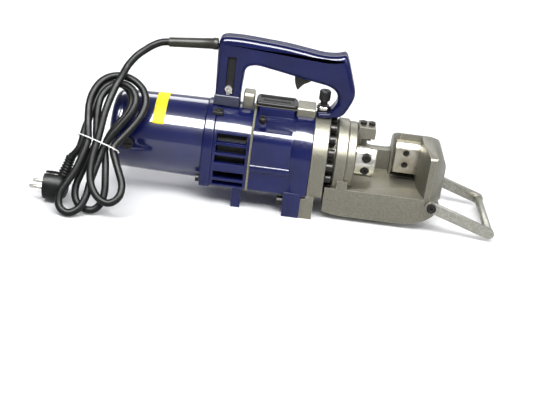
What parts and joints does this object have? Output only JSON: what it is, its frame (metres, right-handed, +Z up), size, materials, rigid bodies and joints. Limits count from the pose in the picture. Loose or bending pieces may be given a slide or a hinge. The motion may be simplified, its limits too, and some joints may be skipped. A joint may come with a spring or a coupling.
{
  "type": "rebar cutter",
  "caption": "Portable electro-hydraulic rebar cutter: inline motor, pump and ram, open C-shaped cutting head with two blades, top handle, front carrying bail and mains lead.",
  "frame": {"origin": "centre of the machine's footprint without its lead, on the floor plane under the feet", "axes": "+X from the motor to the cutting head, +Y to the far side, which the handle halves and the throat's wall face, +Z up"},
  "size_m": [0.64, 0.2137, 0.2321],
  "materials": {
    "blue_paint": "glossy dark navy enamel",
    "blue_plastic": "glossy dark navy moulding",
    "black_plastic": "fine satin moulding",
    "gasket_sheet": "matt fibre sheet",
    "cast_steel": "fine sand-cast, silver grey",
    "bright_steel": "machined, lightly brushed",
    "dark_steel": "black oxide",
    "blade_steel": "tempered golden brown, ground edges",
    "copper_winding": "lacquered copper",
    "black_rubber": "smooth, slightly glossy"
  },
  "bodies": {
    "housing": {"motor_housing": "blue_paint", "motor_end_cap": "blue_paint", "motor_flange": "blue_paint", "fan_housing": "blue_paint", "gear_housing": "blue_paint", "handle_near_half": "blue_plastic", "handle_far_half": "blue_plastic", "brush_cap_near": "black_plastic", "brush_cap_far": "black_plastic", "reservoir_cover": "black_plastic", "switch_body": "black_plastic", "plug": "black_plastic", "housing_gasket": "gasket_sheet", "cylinder_flange": "cast_steel", "cutter_frame": "cast_steel", "ring_plate": "cast_steel", "key_block": "cast_steel", "pump_block": "cast_steel", "vent_post": "cast_steel", "rear_bearing": "bright_steel", "front_bearing": "bright_steel", "return_spring": "bright_steel", "handle_bolt": "bright_steel", "motor_screw_near": "dark_steel", "motor_screw_far": "dark_steel", "filler_plug": "dark_steel", "key_screw_1": "dark_steel", "key_screw_2": "dark_steel", "fixed_blade_screw_1": "dark_steel", "fixed_blade_screw_2": "dark_steel", "bail_bolt_near": "dark_steel", "bail_bolt_far": "dark_steel", "release_valve": "dark_steel", "flange_screw_1": "dark_steel", "flange_screw_2": "dark_steel", "flange_screw_3": "dark_steel", "flange_screw_4": "dark_steel", "flange_screw_5": "dark_steel", "flange_screw_6": "dark_steel", "flange_screw_7": "dark_steel", "flange_screw_8": "dark_steel", "fixed_blade": "blade_steel", "stator": "copper_winding", "strain_relief": "black_rubber", "cord_tube": "black_rubber", "cord_bundle": "black_rubber"},
    "rotor": {"armature": "bright_steel", "cooling_fan": "black_plastic"},
    "eccentric_shaft": {"drive_gear": "bright_steel"},
    "plunger": {"pump_plunger": "bright_steel"},
    "ram_group": {"ram": "bright_steel", "movable_blade": "blade_steel", "movable_blade_screw_1": "dark_steel", "movable_blade_screw_2": "dark_steel"},
    "stopper": {"bar_stopper": "dark_steel"},
    "bail": {"bail_arm_near": "bright_steel", "bail_arm_far": "bright_steel", "bail_cross_bar": "bright_steel"},
    "trigger_lever": {"trigger": "black_plastic"},
    "release_knob": {"release_lever": "black_plastic"}
  },
  "joints": [
    {"name": "rotor_spin", "type": "hinge", "parent": "housing", "child": "rotor", "pos_m": [-0.2, 0, 0.078], "axis": [1, 0, 0], "continuous": true},
    {"name": "gear_spin", "type": "hinge", "parent": "housing", "child": "eccentric_shaft", "pos_m": [-0.062, 0.027, 0.078], "axis": [1, 0, 0], "continuous": true},
    {"name": "plunger_stroke", "type": "slide", "parent": "housing", "child": "plunger", "axis": [0, 0, -1], "range_m": [0, 0.004]},
    {"name": "ram_stroke", "type": "slide", "parent": "housing", "child": "ram_group", "axis": [1, 0, 0], "range_m": [0, 0.0285]},
    {"name": "stopper_screw", "type": "slide", "parent": "housing", "child": "stopper", "axis": [1, 0, 0], "range_m": [0, 0.008]},
    {"name": "bail_swing", "type": "hinge", "parent": "housing", "child": "bail", "pos_m": [0.18, 0, 0.042], "axis": [0, -1, 0], "range_deg": [0, 110]},
    {"name": "trigger_pull", "type": "hinge", "parent": "housing", "child": "trigger_lever", "pos_m": [-0.004, 0, 0.192], "axis": [0, 1, 0], "range_deg": [0, 7], "stiffness_Nm_per_rad": 0.5, "springref_deg": -5.73},
    {"name": "release_turn", "type": "hinge", "parent": "housing", "child": "release_knob", "pos_m": [0.015, 0, 0.16], "axis": [0, 0, -1], "range_deg": [0, 90]}
  ],
  "couplings": [
    {"joint": "gear_spin", "follows": "rotor_spin", "ratio": -0.28571}
  ]
}
